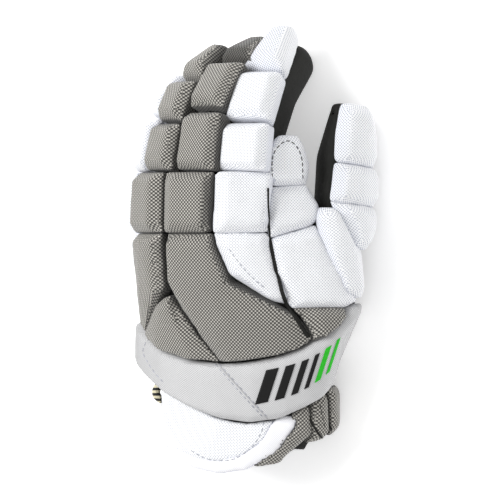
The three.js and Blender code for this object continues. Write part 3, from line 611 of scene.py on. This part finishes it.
grey_thread = thread_material("grey_polyester_thread", pale="#bfc1c9", groove_shade="#8f919b")
black_thread = thread_material("black_polyester_thread", pale="#3a3a38", groove_shade="#0c0c0b")
FINE_THREAD_RADIUS = 0.0003
THREAD_RADIUS = 0.00032
STRONG_THREAD_RADIUS = 0.00035
LAP_RADIUS = 0.0006
LAP_PIXELS = [(217, 363), (234, 382), (251, 401), (269, 420)]
LAP_ROW_PIXELS = [(217, 364), (234, 383), (251, 402), (267, 419)]
LAP_ROW_SHIFT = 2.2
STRAP_END_PIXELS = [(146, 342), (143, 351), (147, 361), (155, 373), (165, 384)]

strap_face = surface_of([strap])
seam = lifted(trace(strap_face, LAP_PIXELS), -0.0002)
sewn_line("strap_lap_seam", [seam], LAP_RADIUS, strap_knit)
for name, shift in (("outer", -LAP_ROW_SHIFT), ("inner", LAP_ROW_SHIFT)):
    row = stitches(trace(strap_face, [(x + shift, y) for x, y in LAP_ROW_PIXELS]))
    sewn_line(f"strap_seam_row_{name}", row, THREAD_RADIUS, grey_thread)
strap_end = stitches(trace(strap_face, STRAP_END_PIXELS))
sewn_line("strap_end_row", strap_end, STRONG_THREAD_RADIUS, grey_thread)


# Plain slanted bars are printed on the strap, over the side of the thumb.
# They are screen printed: a thin, even, slightly rubbery film that fills the knit.
INK_FILM = 0.0003
BARS = [
    # middle x, middle y and half width in pixels, fall of the strap there in degrees, ink
    (267, 386, 6.5, 12, "black"),
    (285, 382, 5.0, 16, "black"),
    (300, 377, 3.8, 21, "black"),
    (312, 371, 2.6, 26, "black"),
    (323, 364, 3.4, 32, "green"),
    (333, 356, 2.2, 38, "green"),
]
BAR_HALF_LENGTH = 18.0
BAR_SLANT = 72


def ink_material(name, color, worn):
    """Plastisol ink: an even colour with a soft sheen, thinner on the ribs of the knit."""
    ink = new_material(name)
    place = add_node(ink, "TexCoord").outputs["Object"]
    wear = add_node(ink, "TexNoise", {"Vector": place, "Scale": 700.0, "Detail": 4.0})
    tone = add_node(
        ink,
        "Mix",
        {"Factor": wear.outputs["Fac"], "A": linear(color), "B": linear(worn)},
        data_type="RGBA",
    )
    bump = add_node(ink, "Bump", {"Height": wear.outputs["Fac"], "Strength": 0.25, "Distance": 0.0003})
    surface = add_node(
        ink,
        "BsdfPrincipled",
        {
            "Base Color": tone.outputs["Result"],
            "Roughness": 0.6,
            "Specular IOR Level": 0.25,
            "Normal": bump.outputs["Normal"],
        },
    )
    add_node(ink, "OutputMaterial", {"Surface": surface.outputs["BSDF"]})
    return ink


INKS = {
    "black": ink_material("black_plastisol_ink", "#050505", "#141414"),
    "green": ink_material("green_plastisol_ink", "#14a812", "#34c92f"),
}
for number, (x, y, half_width, fall, ink) in enumerate(BARS):
    run = Vector((math.cos(math.radians(fall)), -math.sin(math.radians(fall))))
    rise = Vector((math.cos(math.radians(BAR_SLANT)), -math.sin(math.radians(BAR_SLANT))))
    deselect()
    bpy.ops.mesh.primitive_grid_add(x_subdivisions=6, y_subdivisions=20, size=2)
    bar = bpy.context.object
    bar.name = bar.data.name = f"printed_bar_{number}"
    for vertex in bar.data.vertices:
        pixel = Vector((x, y)) + run * half_width * vertex.co.x + rise * BAR_HALF_LENGTH * vertex.co.y
        point, normal = picture_spot(strap_face, *pixel)
        vertex.co = point + normal * INK_FILM / 2
    apply_modifier(bar, "SOLIDIFY", thickness=INK_FILM, offset=1)
    finish_piece(bar, INKS[ink])


# The flap of the cuff covers the back of the wrist: a quilted mesh patch with a band of tape.
# Next to it lie a lobe and two small tabs of the grey mesh, all sewn to the liner.
# Its sides colour is painted shade on the tape's steep edges.
binding_tape = mesh_fabric(
    "binding_tape",
    loops="#ffffff",
    threads="#f6f6fa",
    holes="#d9dae2",
    sides="#dcdde6",
    depth=0.15,
    pitch=1.2,
)
FLAP_VOXEL = 0.0012
FLAP_SMOOTHING = 8
FLAP_FILL = 0.0009
FLAP_PARTS = {
    "cuff_flap": (white_mesh, "white_mesh"),
    "cuff_flap_binding": (binding_tape, "binding_tape"),
    "cuff_side_lobe": (grey_mesh, "grey_mesh"),
    "cuff_tab_inner": (grey_mesh, "grey_mesh"),
    "cuff_tab_outer": (grey_mesh, "grey_mesh"),
}
for name, (material, slot) in FLAP_PARTS.items():
    flap = cad_copy(name + "_cover", [name])
    apply_modifier(flap, "REMESH", mode="VOXEL", voxel_size=FLAP_VOXEL)
    apply_modifier(flap, "SMOOTH", factor=0.5, iterations=FLAP_SMOOTHING)
    apply_modifier(flap, "DISPLACE", strength=FLAP_FILL, mid_level=0.0)
    apply_modifier(flap, "SUBSURF", levels=1, render_levels=1)
    lay_weave(flap)
    finish_piece(flap, material, [name])
    pads[name] = flap


# Rows of thread and dark piping on the pads: they close the seams and finish the pads' edges.
# The thread is bonded polyester, and the piping of the tabs is a cord in a turned strip of leather.
# Along the seam beside the thumb and up the index side, dark leather tubes fill the seams' gaps:
# they stand for the black lining that shows there and for painted shade in the gaps.
FLAP_ROW_PIXELS = [
    (264, 421), (261, 433), (251, 448), (237, 458), (221, 461), (205, 458), (190, 450),
]
BACK_ROW_PIXELS = [(229, 249), (240, 264), (253, 278), (267, 290)]
WEB_ROW_PIXELS = [
    (273, 184), (272, 166), (274, 153), (281, 144), (289, 141), (297, 147), (302, 160), (303, 182),
]
THUMB_SEAM_PIXELS = [(270, 238), (274, 258), (279, 282), (287, 305), (298, 322), (309, 338)]
INDEX_SIDE_PIXELS = [(268, 188), (268, 205), (269, 222), (270, 238)]
TAB_EDGE_PIXELS = {
    "inner": [(308, 411), (311, 420), (316, 430), (322, 438)],
    "outer": [(326, 402), (327, 413), (329, 424), (332, 430)],
}
TAB_ROW_PIXELS = [(320, 405), (322, 414), (324, 423), (326, 431)]
BESIDE_THUMB_SEAM = ("index_back_pad", "thumb_panel", "main_back_pad", "thumb_wrist_panel")
THUMB_SEAM_RADIUS = 0.0013
INDEX_SIDE_RADIUS = 0.0008
TAB_EDGE_RADIUS = 0.0007

flap_face = surface_of([pads["cuff_flap"], pads["cuff_flap_binding"]])
flap_row = trace(flap_face, FLAP_ROW_PIXELS)
sewn_line("flap_row", stitches(flap_row), THREAD_RADIUS, grey_thread)
back_row = trace(surface_of([pads["index_back_pad"]]), BACK_ROW_PIXELS)
sewn_line("index_back_row", stitches(back_row), FINE_THREAD_RADIUS, grey_thread)
web_row = trace(surface_of([pads["web_top_pad"]]), WEB_ROW_PIXELS)
sewn_line("web_top_row", stitches(web_row), STRONG_THREAD_RADIUS, black_thread)
# Painted shade: a dark tube along the seam beside the thumb, for the black lining and the shade in its
# gap.
seam_face = surface_of([pads[name] for name in BESIDE_THUMB_SEAM])
seam_line = lifted(trace(seam_face, THUMB_SEAM_PIXELS), 0.0002)
sewn_line("thumb_seam_dark_gap", [seam_line], THUMB_SEAM_RADIUS, leather)
# Painted shade: a thinner dark tube up the index side, for the black lining and the shade in that seam.
side_face = surface_of([pads["index_knuckle_pad"], pads["web_mid_pad"]])
side_line = lifted(trace(side_face, INDEX_SIDE_PIXELS), 0.0001)
sewn_line("index_side_dark_gap", [side_line], INDEX_SIDE_RADIUS, leather)
for side, pixels in TAB_EDGE_PIXELS.items():
    edge = trace(surface_of([pads[f"cuff_tab_{side}"]]), pixels)
    if len(edge) > STITCH_PERIOD:
        edge = lifted(edge, 0.0003)
        sewn_line(f"tab_piping_{side}", [edge], TAB_EDGE_RADIUS, leather)
tab_row = trace(surface_of([pads["cuff_tab_inner"]]), TAB_ROW_PIXELS)
sewn_line("tab_inner_row", stitches(tab_row), FINE_THREAD_RADIUS, black_thread)


# A loop of round lace comes through the cuff on the little finger's side.
def lace_material():
    """Braided lace: black polyester with cream bands, each a few millimetres wide."""
    BAND = 0.0034
    braid = new_material("banded_lace")
    place = add_node(braid, "TexCoord").outputs["Object"]
    bands = add_node(
        braid,
        "TexWave",
        {"Vector": place, "Scale": 0.31 / BAND, "Distortion": 0.6, "Detail": 1.0},
        bands_direction="Y",
    )
    edge = add_node(
        braid,
        "MapRange",
        {"Value": bands.outputs["Fac"], "From Min": 0.45, "From Max": 0.6},
        interpolation_type="SMOOTHSTEP",
    )
    tone = add_node(
        braid,
        "Mix",
        {"Factor": edge.outputs["Result"], "A": linear("#141412"), "B": linear("#d9d2b4")},
        data_type="RGBA",
    )
    strands = add_node(braid, "TexVoronoi", {"Vector": place, "Scale": 1100.0})
    bump = add_node(
        braid, "Bump", {"Height": strands.outputs["Distance"], "Strength": 0.5, "Distance": 0.0003}
    )
    surface = add_node(
        braid,
        "BsdfPrincipled",
        {"Base Color": tone.outputs["Result"], "Roughness": 0.7, "Normal": bump.outputs["Normal"]},
    )
    add_node(braid, "OutputMaterial", {"Surface": surface.outputs["BSDF"]})
    return braid


lace = cad_copy("lace_cover", ["lace_loop"])
apply_modifier(lace, "SUBSURF", levels=2, render_levels=2)
finish_piece(lace, lace_material(), ["lace_loop"])


# A plain pale table, and soft studio light from above and from the little finger's side.
bpy.ops.mesh.primitive_plane_add(size=6, location=(0, 0, 0))
floor = bpy.context.object
floor.name = "floor"
table = new_material("pale_table")
paint = add_node(
    table,
    "BsdfPrincipled",
    {
        "Base Color": linear("#fcfcfc"),
        "Roughness": 0.8,
        "Specular IOR Level": 0.2,
        "Emission Color": linear("#ffffff"),
        "Emission Strength": 0.38,
    },
)
add_node(table, "OutputMaterial", {"Surface": paint.outputs["BSDF"]})
floor.data.materials.append(table)

LIGHTS = {
    "key": {"location": (-0.75, 0.45, 1.3), "size": 0.9, "energy": 20},
    "fill": {"location": (0.9, -0.5, 1.3), "size": 1.2, "energy": 5.5},
}
for name, light in LIGHTS.items():
    deselect()
    bpy.ops.object.light_add(type="AREA", location=light["location"])
    lamp = bpy.context.object
    lamp.name = name
    lamp.data.size = light["size"]
    lamp.data.energy = light["energy"]
    lamp.rotation_mode = "QUATERNION"
    lamp.rotation_quaternion = (TARGET - lamp.location).to_track_quat("-Z", "Y")
world = bpy.data.worlds.new("studio")
bpy.context.scene.world = world
world.use_nodes = True
world.node_tree.nodes["Background"].inputs["Color"].default_value = (1, 1, 1, 1)
world.node_tree.nodes["Background"].inputs["Strength"].default_value = 0.54
bpy.context.scene.view_settings.view_transform = "Standard"
